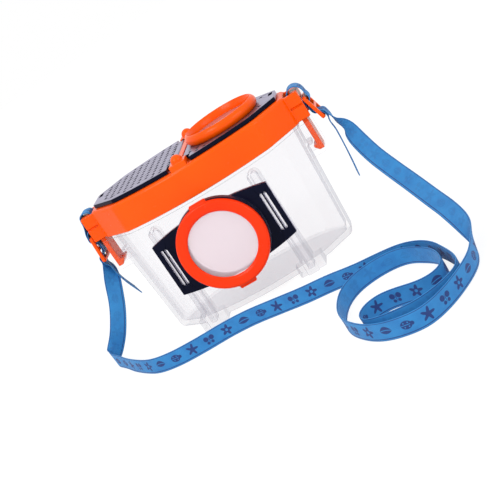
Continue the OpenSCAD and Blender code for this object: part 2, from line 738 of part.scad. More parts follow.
module strap_loop_left() {
    ribbon([for (p = loop_left) [p, front]]);
}
module strap_loop_right() {
    ribbon([for (p = loop_right) [p, front]]);
}
module strap_tail_left() {
    ribbon(concat(woven(slider_left_x, slider_left_z, slider_left_lean, -layer),
        [for (p = tail_left) [p, tail_left_w]]));
}
module strap_tail_right() {
    ribbon(concat(woven(slider_right_x, slider_right_z, slider_right_lean, -layer, 2),
        [for (p = tail_right) [p, tail_right_w]]));
}
module strap_drop_left() {
    ribbon(concat(woven(slider_left_x, slider_left_z, slider_left_lean, layer), drop_left));
}
module strap_drop_right() {
    ribbon(concat(drop_right,
        backwards(woven(slider_right_x, slider_right_z, slider_right_lean, layer))));
}
module strap_floor_run() {
    ribbon([for (p = floor_run) [[p[0], p[1], floor_z], up]]);
}

jar_body();
lens_plate();
front_ring();
front_lens();
lid_frame();
vent_hatch();
lens_hatch();
top_ring();
top_lens();
latch_left();
latch_right();
strap_slider_left();
strap_slider_right();
strap_loop_left();
strap_loop_right();
strap_tail_left();
strap_tail_right();
strap_drop_left();
strap_drop_right();
strap_floor_run();
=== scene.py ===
"""Looks of a bug catcher jar: clear jar, orange lid, two hatches, two magnifiers, a printed strap.

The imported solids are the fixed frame. Every piece here rides on one of their bodies, and all
sizes are in metres in the same frame: X along the jar, the large magnifier towards -Y, Z up.
"""

from __future__ import annotations

import json
import logging
import math
from dataclasses import dataclass
from enum import Enum
from typing import Any

import bmesh
import bpy
import numpy as np
from mathutils import Matrix, Vector

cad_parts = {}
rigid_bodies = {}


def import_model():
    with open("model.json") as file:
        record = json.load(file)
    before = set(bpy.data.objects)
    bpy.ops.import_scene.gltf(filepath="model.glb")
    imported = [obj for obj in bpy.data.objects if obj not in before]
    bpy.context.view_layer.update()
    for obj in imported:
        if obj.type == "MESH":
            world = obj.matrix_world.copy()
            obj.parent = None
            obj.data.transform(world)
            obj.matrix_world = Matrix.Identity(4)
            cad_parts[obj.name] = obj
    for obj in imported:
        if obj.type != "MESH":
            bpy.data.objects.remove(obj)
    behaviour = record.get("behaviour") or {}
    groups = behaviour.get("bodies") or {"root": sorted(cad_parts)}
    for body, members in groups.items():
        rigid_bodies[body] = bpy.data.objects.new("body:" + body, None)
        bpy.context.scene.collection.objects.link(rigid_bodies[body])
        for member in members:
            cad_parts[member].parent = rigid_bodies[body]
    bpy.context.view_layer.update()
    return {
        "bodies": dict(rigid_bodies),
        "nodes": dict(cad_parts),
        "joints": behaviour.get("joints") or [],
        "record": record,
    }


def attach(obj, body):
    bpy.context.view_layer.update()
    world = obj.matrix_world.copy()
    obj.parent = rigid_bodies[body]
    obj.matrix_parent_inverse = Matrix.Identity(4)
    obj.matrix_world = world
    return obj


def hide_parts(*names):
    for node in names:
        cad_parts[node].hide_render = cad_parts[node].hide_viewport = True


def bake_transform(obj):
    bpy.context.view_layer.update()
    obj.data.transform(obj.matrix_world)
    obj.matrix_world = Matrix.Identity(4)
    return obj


LOG = logging.getLogger("bug_catcher_jar")
MM = 0.001
PHOTO_SIDE = 500
TURN_STEPS = 144
SAME_POINT = 1e-7
SAME_CORNER = 2e-6
FLAT_ANGLE = 0.5
Colour = tuple[float, float, float]
Place = tuple[float, float, float]
FRONT: Place = (0.0, -1.0, 0.0)
UP: Place = (0.0, 0.0, 1.0)


class Body(Enum):
    """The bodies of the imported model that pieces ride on."""

    JAR = "jar"
    LID = "lid"
    VENT_HATCH = "vent_hatch"
    LENS_HATCH = "lens_hatch"
    LATCH_LEFT = "latch_left"
    LATCH_RIGHT = "latch_right"
    FRONT_RING = "front_ring"


class Motif(Enum):
    """The printed figures of the ribbon, in the order in which they follow each other."""

    FLOWER = 0
    LEAF = 1
    BEETLE = 2
    STAR = 3
    BUTTERFLY = 4


# ---------------------------------------------------------------- shader maths


class Field:
    """A value that a material works out at every point, with Python's own operators."""

    def __init__(self, book: "NodeBook", socket: bpy.types.NodeSocket) -> None:
        """Wraps an output socket of one material's nodes."""
        self.book = book
        self.socket = socket

    def math(self, operation: str, *others: "Field | float") -> "Field":
        """Adds a Math node.

        Args:
            operation: the node's operation.
            others: its second and third value.

        Returns:
            The node's result.
        """
        values = dict(enumerate([self, *others]))
        return self.book.node("ShaderNodeMath", {"operation": operation}, values)

    def __add__(self, other: "Field | float") -> "Field":
        """Sum."""
        return self.math("ADD", other)

    __radd__ = __add__

    def __sub__(self, other: "Field | float") -> "Field":
        """Difference."""
        return self.math("SUBTRACT", other)

    def __rsub__(self, other: float) -> "Field":
        """Difference from a number."""
        values = {0: other, 1: self}
        return self.book.node("ShaderNodeMath", {"operation": "SUBTRACT"}, values)

    def __mul__(self, other: "Field | float") -> "Field":
        """Product."""
        return self.math("MULTIPLY", other)

    __rmul__ = __mul__

    def __truediv__(self, other: "Field | float") -> "Field":
        """Quotient."""
        return self.math("DIVIDE", other)

    def __pow__(self, other: float) -> "Field":
        """Power."""
        return self.math("POWER", other)

    def __abs__(self) -> "Field":
        """Size without sign."""
        return self.math("ABSOLUTE")

    def __or__(self, other: "Field") -> "Field":
        """The larger of two masks."""
        return self.math("MAXIMUM", other)

    def __and__(self, other: "Field") -> "Field":
        """The smaller of two masks."""
        return self.math("MINIMUM", other)

    def ramp(self, low: float, high: float, start: float = 0.0, end: float = 1.0) -> "Field":
        """A smooth step.

        Args:
            low: where the step begins.
            high: where it ends, which may lie below low.
            start: the result at low.
            end: the result at high.

        Returns:
            The stepped value.
        """
        values = {"Value": self, 1: low, 2: high, 3: start, 4: end}
        settings = {"interpolation_type": "SMOOTHSTEP"}
        return self.book.node("ShaderNodeMapRange", settings, values)


class NodeBook:
    """One material and the nodes in it."""

    def __init__(self, name: str) -> None:
        """Starts an empty material.

        Args:
            name: the material's name.
        """
        self.material = bpy.data.materials.new(name)
        self.material.use_nodes = True
        self.tree = self.material.node_tree
        self.tree.nodes.clear()

    def node(
        self,
        kind: str,
        settings: dict[str, Any] | None = None,
        values: dict[str | int, Any] | None = None,
        output: str | int = 0,
    ) -> Field:
        """Adds a node.

        Args:
            kind: the node's type.
            settings: its own properties, which are set first.
            values: what its sockets hold, by name or place: a Field, a number or a tuple.
            output: the output socket that the result stands for.

        Returns:
            That output.
        """
        made = self.tree.nodes.new(kind)
        for key, value in (settings or {}).items():
            setattr(made, key, value)
        for key, value in (values or {}).items():
            if isinstance(value, Field):
                self.tree.links.new(value.socket, made.inputs[key])
            else:
                made.inputs[key].default_value = value
        return Field(self, made.outputs[output])

    def place(self) -> Field:
        """Object coordinates."""
        return self.node("ShaderNodeTexCoord", output="Object")

    def facing(self) -> Field:
        """How far the surface turns away: 0 straight on and 1 at a glancing angle."""
        return self.node("ShaderNodeLayerWeight", values={"Blend": 0.5}, output="Facing")

    def parts(self, vector: Field) -> tuple[Field, Field, Field]:
        """The three numbers of a vector."""
        made = self.node("ShaderNodeSeparateXYZ", values={0: vector}).socket.node
        return tuple(Field(self, socket) for socket in made.outputs)

    def noise(self, vector: Field, scale: float, detail: float = 3.0) -> Field:
        """Soft noise between 0 and 1 with that many cells a metre."""
        values = {"Vector": vector, "Scale": scale, "Detail": detail}
        return self.node("ShaderNodeTexNoise", values=values)

    def blend(self, mask: Field | float, low: Any, high: Any) -> Field:
        """Mixes two colours.

        Args:
            mask: how much of the second colour shows, from 0 to 1.
            low: the colour where the mask is 0.
            high: the colour where it is 1.

        Returns:
            low (1 - mask) + high mask.
        """
        ready = [c if isinstance(c, Field) else (*c, 1.0) for c in (low, high)]
        values = {0: mask, 6: ready[0], 7: ready[1]}
        return self.node("ShaderNodeMix", {"data_type": "RGBA"}, values, output=2)

    def bump(self, height: Field, depth: float, strength: float = 1.0) -> Field:
        """A normal that follows a height of that depth in metres."""
        values = {"Strength": strength, "Distance": depth, "Height": height}
        return self.node("ShaderNodeBump", values=values)

    def surface(self, shader: Field) -> bpy.types.Material:
        """Joins a shader to the material's output.

        Args:
            shader: the finished shader.

        Returns:
            The material.
        """
        out = self.tree.nodes.new("ShaderNodeOutputMaterial")
        self.tree.links.new(shader.socket, out.inputs["Surface"])
        return self.material


def srgb(code: str) -> Colour:
    """Linear colour of a six-figure web colour."""
    parts = [int(code[i : i + 2], 16) / 255 for i in (0, 2, 4)]
    return tuple(c / 12.92 if c <= 0.04045 else ((c + 0.055) / 1.055) ** 2.4 for c in parts)


# ---------------------------------------------------------------- finishes


@dataclass(frozen=True)
class MouldedPlastic:
    """Glossy injection-moulded plastic with a faint flow pattern and a fine skin.

    Args:
        name: the material's name.
        colour: its colour.
        deep: the colour of its darker drifts.
        roughness: roughness at its glossiest.
        mirror: level of its plain reflection, where 0.5 is that of bare plastic.
        coat: weight of the polished skin.
        sheen: share of the pale reflection that it shows at glancing angles.
        sheen_tint: colour of that reflection.
        drift_cells: cells a metre of the flow pattern.
        grain_cells: cells a metre of the fine skin.
        grain_depth: depth of that skin in metres.
        scuff_cells: cells a metre of the faint scuffs.
    """

    name: str
    colour: Colour
    deep: Colour
    roughness: float = 0.22
    mirror: float = 0.13
    coat: float = 0.04
    sheen: float = 0.0
    sheen_tint: Colour = (1.0, 1.0, 1.0)
    drift_cells: float = 28.0
    grain_cells: float = 2600.0
    grain_depth: float = 0.00002
    scuff_cells: float = 420.0

    def make(self) -> bpy.types.Material:
        """The material."""
        book = NodeBook(self.name)
        place = book.place()
        drift = book.noise(place, self.drift_cells, 2.0).ramp(0.35, 0.7)
        grain = book.bump(book.noise(place, self.grain_cells, 2.0), self.grain_depth, 0.25)
        scuff = book.noise(place, self.scuff_cells, 5.0).ramp(0.62, 0.78)
        rough = self.roughness + drift * 0.05 + scuff * 0.07
        values = {
            "Base Color": book.blend(drift * 0.55, self.colour, self.deep),
            "Roughness": rough,
            "Specular IOR Level": self.mirror,
            "Coat Weight": self.coat,
            "Coat Roughness": 0.06,
            "Normal": grain,
        }
        body = book.node("ShaderNodeBsdfPrincipled", values=values)
        if self.sheen == 0:
            return book.surface(body)
        facing = book.facing()
        values = {"Color": (*self.sheen_tint, 1.0), "Roughness": rough + 0.1, "Normal": grain}
        pale = book.node("ShaderNodeBsdfAnisotropic", values=values)
        values = {0: facing.ramp(0.45, 0.95) * self.sheen, 1: body, 2: pale}
        return book.surface(book.node("ShaderNodeMixShader", values=values))


@dataclass(frozen=True)
class ClearPlastic:
    """Water-clear plastic whose edges are greyed by painted shade, a tint at glancing angles in
    place of refraction.

    Args:
        name: the material's name.
        face: colour seen straight on.
        edge: colour seen at a glancing angle, a painted shade that stands in for the darker edges
            that refraction gives.
        body: colour of its own haze.
        haze: share of that haze, seen straight on.
        gloss: how much the share grows at a glancing angle.
        painted_grey_power: how late the grey sets in towards a glancing angle.
        gloss_power: how late the reflection does.
        wave_cells: cells a metre of the wall's slight waves.
        wave_depth: depth of those waves in metres.
    """

    name: str
    face: Colour = (0.98, 0.978, 0.984)
    edge: Colour = (0.6, 0.61, 0.66)
    body: Colour = (0.95, 0.95, 0.97)
    haze: float = 0.02
    gloss: float = 0.35
    painted_grey_power: float = 3.4
    gloss_power: float = 3.5
    wave_cells: float = 60.0
    wave_depth: float = 0.0004

    def make(self) -> bpy.types.Material:
        """The material: clear film that turns grey at glancing angles as painted shade, under a
        thin reflection that grows at glancing angles.
        """
        book = NodeBook(self.name)
        place = book.place()
        skin = book.bump(book.noise(place, self.wave_cells, 2.0), self.wave_depth, 0.12)
        facing = book.facing()
        # Painted shade: the film goes from the face colour to the grey edge colour towards glancing
        # angles, in place of refraction.
        film = [
            book.node("ShaderNodeBsdfTransparent", values={"Color": (*colour, 1.0)})
            for colour in (self.face, self.edge)
        ]
        values = {0: (facing**self.painted_grey_power).ramp(0.0, 1.0), 1: film[0], 2: film[1]}
        clear = book.node("ShaderNodeMixShader", values=values)
        shine = book.node(
            "ShaderNodeBsdfPrincipled",
            values={"Base Color": (*self.body, 1.0), "Roughness": 0.06, "Normal": skin},
        )
        share = self.haze + (facing**self.gloss_power) * self.gloss
        values = {0: share, 1: clear, 2: shine}
        return book.surface(book.node("ShaderNodeMixShader", values=values))


@dataclass(frozen=True)
class PrintedRibbon:
    """Woven blue ribbon with figures printed on one face and a striped edge.

    The ribbon's UV map gives the length in ribbon widths and the height across from 0 to 1,
    and the attribute named printed is 1 on the printed face.

    Pitch and size are in ribbon widths, threads are counted across one, and middle and both
    stripes are heights across it. The selvedge lies below the lower stripe.
    """

    name: str = "printed_ribbon"
    ground: Colour = srgb("2A87C9")
    shade: Colour = srgb("2174B8")
    ink: Colour = srgb("10256A")
    selvedge: Colour = srgb("2E80C0")
    pitch: float = 1.1
    size: float = 1.06
    threads: float = 26.0
    middle: float = 0.53
    lower_stripe: float = 0.115
    upper_stripe: float = 0.955

    def figure(self, kind: Motif, x: Field, y: Field) -> Field:
        """Mask of one figure.

        The flower and the star are a radius that swings with the angle. The leaf is a bent
        parabola with a rib, the beetle an ellipse with a head, a seam and four spots, and the
        butterfly four discs and a thin trunk.

        Args:
            kind: which figure.
            x: distance along the ribbon from the figure's middle, in ribbon widths.
            y: distance across it.

        Returns:
            1 inside the figure and 0 outside.
        """
        soft = 0.03
        r = (x * x + y * y) ** 0.5
        turn = y.math("ARCTAN2", x)
        if kind is Motif.FLOWER:
            petals = 0.245 + (turn * 5.0).math("COSINE") * 0.085
            return (petals - r).ramp(0.0, soft) & (r - 0.06).ramp(0.0, soft)
        if kind is Motif.STAR:
            points = 0.15 + abs((turn * 2.5).math("COSINE")) ** 3.0 * 0.2
            return (points - r).ramp(0.0, soft)
        if kind is Motif.LEAF:
            blade = 0.2 * (1.0 - (x * x) * 8.5) - abs(y + x * x * 0.5 - 0.03)
            return blade.ramp(0.0, soft) & abs(y + x * x * 0.5 - 0.03).ramp(0.008, 0.03)
        if kind is Motif.BEETLE:
            shell = 1.0 - (x * x) * 13.0 - (y * y) * 22.0
            head = 0.11 - ((x - 0.27) * (x - 0.27) + y * y) ** 0.5
            spots = (((abs(x) - 0.1) ** 2.0 + (abs(y) - 0.1) ** 2.0) ** 0.5).ramp(0.02, 0.045)
            return (shell.ramp(0.0, 0.2) & abs(y).ramp(0.006, 0.026) & spots) | head.ramp(0.0, soft)
        upper = 0.15 - ((abs(x) - 0.16) ** 2.0 + (y - 0.09) ** 2.0) ** 0.5
        lower = 0.1 - ((abs(x) - 0.12) ** 2.0 + (y + 0.15) ** 2.0) ** 0.5
        trunk = 0.03 - abs(x) - abs(y) * 0.08
        return upper.ramp(0.0, soft) | lower.ramp(0.0, soft) | trunk.ramp(0.0, 0.02)

    def make(self) -> bpy.types.Material:
        """The material."""
        book = NodeBook(self.name)
        along, across, _ = book.parts(book.node("ShaderNodeUVMap", {"uv_map": "Length"}))
        cell = (along / self.pitch).math("FLOOR")
        x = ((along - cell * self.pitch) - self.pitch / 2) / self.size
        y = (across - self.middle) / self.size
        kind = cell.math("FLOORED_MODULO", float(len(Motif)))
        print_mask = None
        for motif in Motif:
            here = abs(kind - float(motif.value)).math("LESS_THAN", 0.5)
            mask = self.figure(motif, x, y) & here
            print_mask = mask if print_mask is None else print_mask | mask
        face = book.node("ShaderNodeAttribute", {"attribute_name": "printed"}, output="Fac")
        lower = abs(across - self.lower_stripe).ramp(0.03, 0.015)
        upper = abs(across - self.upper_stripe).ramp(0.022, 0.01)
        ink = (print_mask * (0.16 + face * 0.84)) | (lower * 0.95) | (upper * 0.9)
        warp = (along * (2 * math.pi * self.threads)).math("SINE")
        weft = (across * (2 * math.pi * self.threads)).math("SINE")
        weave = (warp * weft) * 0.5 + 0.5
        wear = book.noise(book.place(), 160.0, 4.0).ramp(0.3, 0.75)
        cloth = book.blend(wear * 0.7, self.ground, self.shade)
        cloth = book.blend(across.ramp(0.085, 0.06) * 0.8, cloth, self.selvedge)
        cloth = book.blend(ink * (0.8 + weave * 0.2), cloth, self.ink)
        cloth = book.blend(weave * 0.07, cloth, self.ink)
        values = {
            "Base Color": cloth,
            "Roughness": 0.62 + weave * 0.18,
            "Sheen Weight": 0.12,
            "Sheen Roughness": 0.4,
            "Normal": book.bump(weave, 0.00008, 0.5),
        }
        return book.surface(book.node("ShaderNodeBsdfPrincipled", values=values))


@dataclass(frozen=True)
class PaleFloor:
    """Plain white ground that meets a white background and keeps the object's shadow.

    Args:
        name: the material's name.
        grey: how light its plain surface is.
        glow: strength of its own white.
        glow_share: how much of that white the camera and reflections see.
    """

    name: str = "pale_floor"
    grey: float = 0.86
    glow: float = 1.12
    glow_share: float = 0.78

    def make(self) -> bpy.types.Material:
        """The material: mostly its own white for the camera, and plain diffuse otherwise."""
        book = NodeBook(self.name)
        ray = book.node("ShaderNodeLightPath").socket.node.outputs
        seen = Field(book, ray["Is Camera Ray"]) | Field(book, ray["Is Glossy Ray"])
        seen = seen | Field(book, ray["Is Transmission Ray"])
        tone = (self.grey, self.grey, self.grey, 1.0)
        plain = book.node("ShaderNodeBsdfDiffuse", values={"Color": tone})
        white = book.node("ShaderNodeEmission", values={"Strength": self.glow})
        values = {0: seen * self.glow_share, 1: plain, 2: white}
        return book.surface(book.node("ShaderNodeMixShader", values=values))


# ---------------------------------------------------------------- surfaces


def grid_faces(rows: int, cols: int, round_rows: bool = False) -> np.ndarray:
    """Cells of a grid whose columns close on themselves.

    Args:
        rows: number of rings.
        cols: points in a ring.
        round_rows: whether the last ring joins the first.

    Returns:
        An array of four corner numbers a cell.
    """
    a, b = np.meshgrid(np.arange(rows if round_rows else rows - 1), np.arange(cols), indexing="ij")
    c, d = (a + 1) % rows, (b + 1) % cols
    return np.stack([a * cols + b, c * cols + b, c * cols + d, a * cols + d], -1).reshape(-1, 4)


def added(name: str, data: bpy.types.ID) -> bpy.types.Object:
    """Links a new object to the scene, at the origin.

    Args:
        name: the object's name.
        data: its mesh, camera or lamp.

    Returns:
        The object.
    """
    made = bpy.data.objects.new(name, data)
    bpy.context.scene.collection.objects.link(made)
    return made


def make_object(name: str, points: np.ndarray, faces: list[list[int]]) -> bpy.types.Object:
    """Makes a smooth mesh object at the origin, with its faces turned outwards.

    Args:
        name: the object's name.
        points: one row a point.
        faces: corner numbers of each face.

    Returns:
        The object, already in the scene.
    """
    mesh = bpy.data.meshes.new(name)
    mesh.from_pydata(points.reshape(-1, 3).tolist(), [], faces)
    work = bmesh.new()
    work.from_mesh(mesh)
    bmesh.ops.remove_doubles(work, verts=work.verts, dist=SAME_POINT)
    bmesh.ops.recalc_face_normals(work, faces=work.faces)
    work.to_mesh(mesh)
    work.free()
    mesh.polygons.foreach_set("use_smooth", np.ones(len(mesh.polygons), bool))
    return added(name, mesh)


def turned(
    name: str, profile: np.ndarray, centre: Place, forwards: bool = False
) -> bpy.types.Object:
    """A surface of revolution: the closed profile (r, h) goes round an axis.

    The point is centre + r (cos a, sin a, 0) + h Z, or with forwards centre +
    r (cos a, 0, sin a) - h Y.

    Args:
        name: the object's name.
        profile: radius and height of each corner, in metres.
        centre: where the axis starts.
        forwards: whether the axis runs towards the front.

    Returns:
        The object.
    """
    angle = np.linspace(0, 2 * math.pi, TURN_STEPS, endpoint=False)[None, :]
    r, h = profile[:, 0, None], profile[:, 1, None]
    x, y, z = r * np.cos(angle), r * np.sin(angle), h + 0 * angle
    points = np.stack([x, -z, y] if forwards else [x, y, z], -1) + np.array(centre)
    return make_object(name, points, grid_faces(len(profile), angle.size, True).tolist())


def finish_edges(piece: bpy.types.Object, width: float, angle: float = 38.0) -> None:
    """Rounds a piece's sharp edges and evens its shading.

    Args:
        piece: the object.
        width: width of each rounding.
        angle: edges sharper than this are rounded, in degrees.
    """
    bevel = piece.modifiers.new("soft_edges", "BEVEL")
    bevel.width = width
    bevel.segments = 2
    bevel.limit_method = "ANGLE"
    bevel.angle_limit = math.radians(angle)
    bevel.use_clamp_overlap = False
    even = piece.modifiers.new("even_shading", "WEIGHTED_NORMAL")
    even.keep_sharp = False


def moulded_copy(
    frame: dict[str, Any], node: str, width: float, plain: bool = False
) -> bpy.types.Object:
    """A merged copy of a solid with soft edges, which stands for it.

    Args:
        frame: the loaded frame.
        node: the solid's name.
        width: width of its rounded edges.
        plain: whether no flat face of it has a hole, so that each becomes one polygon.

    Returns:
        The copy.
    """
    mesh = frame["nodes"][node].data.copy()
    mesh.name = node + "_skin"
    work = bmesh.new()
    work.from_mesh(mesh)
    bmesh.ops.remove_doubles(work, verts=work.verts, dist=SAME_CORNER)
    if plain:
        bmesh.ops.dissolve_limit(
            work, angle_limit=math.radians(FLAT_ANGLE), verts=work.verts, edges=work.edges
        )
    work.to_mesh(mesh)
    work.free()
    mesh.polygons.foreach_set("use_smooth", np.ones(len(mesh.polygons), bool))
    made = added(node + "_skin", mesh)
    finish_edges(made, width)
    return made


def dress(
    piece: bpy.types.Object, material: bpy.types.Material, slot: str, body: Body, *nodes: str
) -> bpy.types.Object:
    """Gives a piece its finish, its body and the solids that it stands for.

    Args:
        piece: the object.
        material: its finish.
        slot: the record's name for that finish; not used.
        body: what it rides on.
        nodes: the solids that it replaces.

    Returns:
        The same object.
    """
    piece.data.materials.clear()
    piece.data.materials.append(material)
    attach(piece, body.value)
    if nodes:
        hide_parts(*nodes)
    LOG.info("%s rides on %s", piece.name, body.value)
    return piece


# ---------------------------------------------------------------- studio


@dataclass(frozen=True)
class Lamp:
    """A square soft lamp: where it hangs, its power in watts and the length of its side."""

    name: str
    spot: Place
    watts: float
    side: float


@dataclass(frozen=True)
class Studio:
    """Camera at the photograph's angle, a white floor and soft lamps."""

    focal: float = 1134.35
    azimuth: float = 13.52
    elevation: float = 15.78
    roll: float = -33.39
    distance: float = 0.65625
    aside: float = -0.00008
    above: float = -0.02163
    target: Place = (0.0, 0.0, 0.042)
    sensor: float = 36.0
    clip: tuple[float, float] = (0.01, 10.0)
    floor_r: float = 3.0
    floor_sides: int = 96
    floor_drop: float = 0.00005
    sky_level: float = 0.75
    clear_layers: int = 48
    lamps: tuple[Lamp, ...] = (
        Lamp("key_lamp", (-0.45, -0.75, 0.85), 5.6, 0.55),
        Lamp("fill_lamp", (0.85, -0.5, 0.5), 2.4, 0.6),
    )

    def camera(self) -> None:
        """Makes the camera: its back axis from azimuth and elevation, then rolled."""
        az, el, roll = (math.radians(v) for v in (self.azimuth, self.elevation, self.roll))
        back = Vector(
            (math.sin(az) * math.cos(el), -math.cos(az) * math.cos(el), math.sin(el))
        )
        right = Vector((math.cos(az), math.sin(az), 0))
        up = back.cross(right)
        axes = [
            math.cos(roll) * right + math.sin(roll) * up,
            math.cos(roll) * up - math.sin(roll) * right,
            back,
        ]
        spot = Vector(self.target) + right * self.aside + up * self.above + back * self.distance
        lens = bpy.data.cameras.new("photo_camera")
        lens.sensor_width = self.sensor
        lens.lens = self.focal / PHOTO_SIDE * lens.sensor_width
        lens.clip_start, lens.clip_end = self.clip
        made = added("photo_camera", lens)
        made.matrix_world = Matrix.Translation(spot) @ Matrix(axes).transposed().to_4x4()
        bpy.context.scene.camera = made

    def floor(self) -> None:
        """Makes the floor: a flat disc a hair below z 0, so that nothing flickers in it."""
        angle = np.linspace(0, 2 * math.pi, self.floor_sides, endpoint=False)
        x, y = self.floor_r * np.cos(angle), self.floor_r * np.sin(angle)
        points = np.stack([x, y, 0 * angle - self.floor_drop], -1)
        ground = make_object("ground", points, [list(range(self.floor_sides))])
        if ground.data.polygons[0].normal.z < 0:
            ground.data.flip_normals()
        ground.data.materials.append(PaleFloor().make())

    def sky(self) -> None:
        """Soft even light, which the camera and reflections see as white."""
        world = bpy.data.worlds.new("soft_sky")
        world.use_nodes = True
        tree = world.node_tree
        tree.nodes.clear()
        ray = tree.nodes.new("ShaderNodeLightPath")
        seen = ray.outputs["Is Camera Ray"]
        for kind in ("Is Transmission Ray", "Is Glossy Ray"):
            larger = tree.nodes.new("ShaderNodeMath")
            larger.operation = "MAXIMUM"
            tree.links.new(seen, larger.inputs[0])
            tree.links.new(ray.outputs[kind], larger.inputs[1])
            seen = larger.outputs[0]
        level = tree.nodes.new("ShaderNodeMapRange")
        level.inputs["To Min"].default_value = self.sky_level
        level.inputs["To Max"].default_value = 1.0
        tree.links.new(seen, level.inputs["Value"])
        light = tree.nodes.new("ShaderNodeBackground")
        light.inputs["Color"].default_value = (1.0, 1.0, 1.0, 1.0)
        tree.links.new(level.outputs[0], light.inputs["Strength"])
        out = tree.nodes.new("ShaderNodeOutputWorld")
        tree.links.new(light.outputs[0], out.inputs["Surface"])
        bpy.context.scene.world = world

    def hang(self, lamp: Lamp) -> None:
        """Makes a lamp that looks at the jar.

        Args:
            lamp: which one.
        """
        data = bpy.data.lights.new(lamp.name, "AREA")
        data.energy, data.size = lamp.watts, lamp.side
        made = added(lamp.name, data)
        made.location = lamp.spot
        sight = Vector(self.target) - Vector(lamp.spot)
        made.rotation_euler = sight.to_track_quat("-Z", "Y").to_euler()

    def build(self) -> None:
        """Makes everything around the object."""
        self.camera()
        self.floor()
        self.sky()
        for lamp in self.lamps:
            self.hang(lamp)
        scene = bpy.context.scene
        scene.view_settings.view_transform = "Standard"
        scene.cycles.transparent_max_bounces = self.clear_layers


# ---------------------------------------------------------------- strap


def unit(vectors: np.ndarray) -> np.ndarray:
    """Each vector at length 1."""
    return vectors / np.linalg.norm(vectors, axis=-1, keepdims=True)


def smooth_line(points: np.ndarray, step: float) -> np.ndarray:
    """A cubic through every point, read off at even steps.

    Between two points the curve is the Hermite cubic whose slopes are the distance-weighted
    means of the chords on both sides.

    Args:
        points: rows of any width whose first three numbers are a place.
        step: distance between the points that come back, in metres.

    Returns:
        The rows along the curve.
    """
    gap = np.linalg.norm(np.diff(points[:, :3], axis=0), axis=1)
    knot = np.concatenate([[0], np.cumsum(gap)])
    chord = np.diff(points, axis=0) / gap[:, None]
    slope = np.empty_like(points)
    mean = chord[1:] * gap[:-1, None] + chord[:-1] * gap[1:, None]
    slope[1:-1] = mean / (gap[1:] + gap[:-1])[:, None]
    slope[0], slope[-1] = chord[0], chord[-1]
    s = np.linspace(0, knot[-1], max(int(knot[-1] / (step / 4)), 8))
    k = np.clip(np.searchsorted(knot, s, side="right") - 1, 0, len(gap) - 1)
    h = gap[k][:, None]
    t = ((s - knot[k]) / gap[k])[:, None]
    curve = (
        (1 + 2 * t) * (1 - t) ** 2 * points[k]
        + t * (1 - t) ** 2 * h * slope[k]
        + t**2 * (3 - 2 * t) * points[k + 1]
        - t**2 * (1 - t) * h * slope[k + 1]
    )
    run = np.concatenate([[0], np.cumsum(np.linalg.norm(np.diff(curve[:, :3], axis=0), axis=1))])
    even = np.linspace(0, run[-1], int(run[-1] / step) + 1)
    return np.stack([np.interp(even, run, column) for column in curve.T], -1)


def soften(rows: np.ndarray, reach: float, step: float, share: np.ndarray) -> np.ndarray:
    """Evens out a line with a bell-shaped mean of its neighbours.

    Args:
        rows: the line's rows.
        reach: width of the bell, in metres.
        step: distance between rows.
        share: how much of the mean each row takes, from 0 to 1.

    Returns:
        The softened rows, with both ends where they were.
    """
    half = int(3 * reach / step)
    bell = np.exp(-0.5 * (np.arange(-half, half + 1) * step / reach) ** 2)
    bell /= bell.sum()
    padded = np.pad(rows, ((half, half), (0, 0)), mode="reflect", reflect_type="odd")
    mean = np.stack([np.convolve(column, bell, mode="valid") for column in padded.T], -1)
    return rows + (mean - rows) * share[:, None]


@dataclass(frozen=True)
class Slider:
    """Where a strap slider stands and which way it leans, in millimetres and degrees."""

    x: float
    z: float
    lean: float

    def woven(self, offset: float) -> np.ndarray:
        """The middle of one ribbon layer through the slider.

        The layer goes outside both end bars and inside the middle bar: six corners as
        (along, outwards), moved sideways by offset along the corner's mitre.

        Args:
            offset: distance outwards from the mean of both layers.

        Returns:
            The corners from the top down.
        """
        line = np.array(
            [[-8.7, 1.95], [-5.9, 1.95], [-2.4, -1.95], [2.4, -1.95], [5.9, 1.95], [8.7, 1.95]]
        )
        chord = unit(np.diff(line, axis=0))
        a, b = np.vstack([chord[:1], chord]), np.vstack([chord, chord[-1:]])
        mean = unit(a + b)
        side = np.stack([-mean[:, 1], mean[:, 0]], -1) / (mean * a).sum(1, keepdims=True)
        s, n = (line + offset * side).T
        lean, way = math.radians(self.lean), math.copysign(1, self.x)
        x = self.x + way * (s * math.cos(lean) + n * math.sin(lean))
        z = self.z - s * math.sin(lean) + n * math.cos(lean)
        return np.stack([x, 0 * x, z], -1)


def rows_of(places: np.ndarray, hint: Place) -> np.ndarray:
    """Route rows in millimetres, each a place and the direction of the ribbon's width."""
    places = np.asarray(places, float)
    return np.hstack([places, np.tile(hint, (len(places), 1))])


